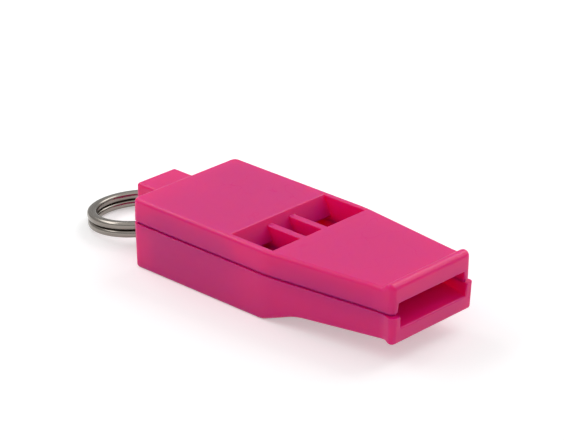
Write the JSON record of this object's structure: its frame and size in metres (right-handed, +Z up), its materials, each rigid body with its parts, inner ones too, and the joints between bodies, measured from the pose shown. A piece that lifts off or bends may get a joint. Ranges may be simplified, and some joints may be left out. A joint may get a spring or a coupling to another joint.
{
  "type": "sports whistle",
  "caption": "Slim pealess sports whistle in moulded plastic: chambered base, welded cover with a window slot, lipped mouthpiece, and a steel split ring that swings in the tail block.",
  "frame": {"origin": "middle of the flat underside that the whistle rests on", "axes": "+X towards the mouth, +Z up through the top plate, +Y across the body"},
  "size_m": [0.0608, 0.02, 0.0108],
  "materials": {
    "pink_plastic": "satin moulded plastic, strong pink",
    "ring_steel": "drawn steel wire, slightly warm grey"
  },
  "bodies": {
    "whistle": {"whistle_base": "pink_plastic", "whistle_cover": "pink_plastic"},
    "ring": {"split_ring": "ring_steel"}
  },
  "joints": [
    {"name": "ring_swing", "type": "hinge", "parent": "whistle", "child": "ring", "pos_m": [-0.01461, 0, 0.00264], "axis": [0, 1, 0], "range_deg": [-110, 106]}
  ]
}
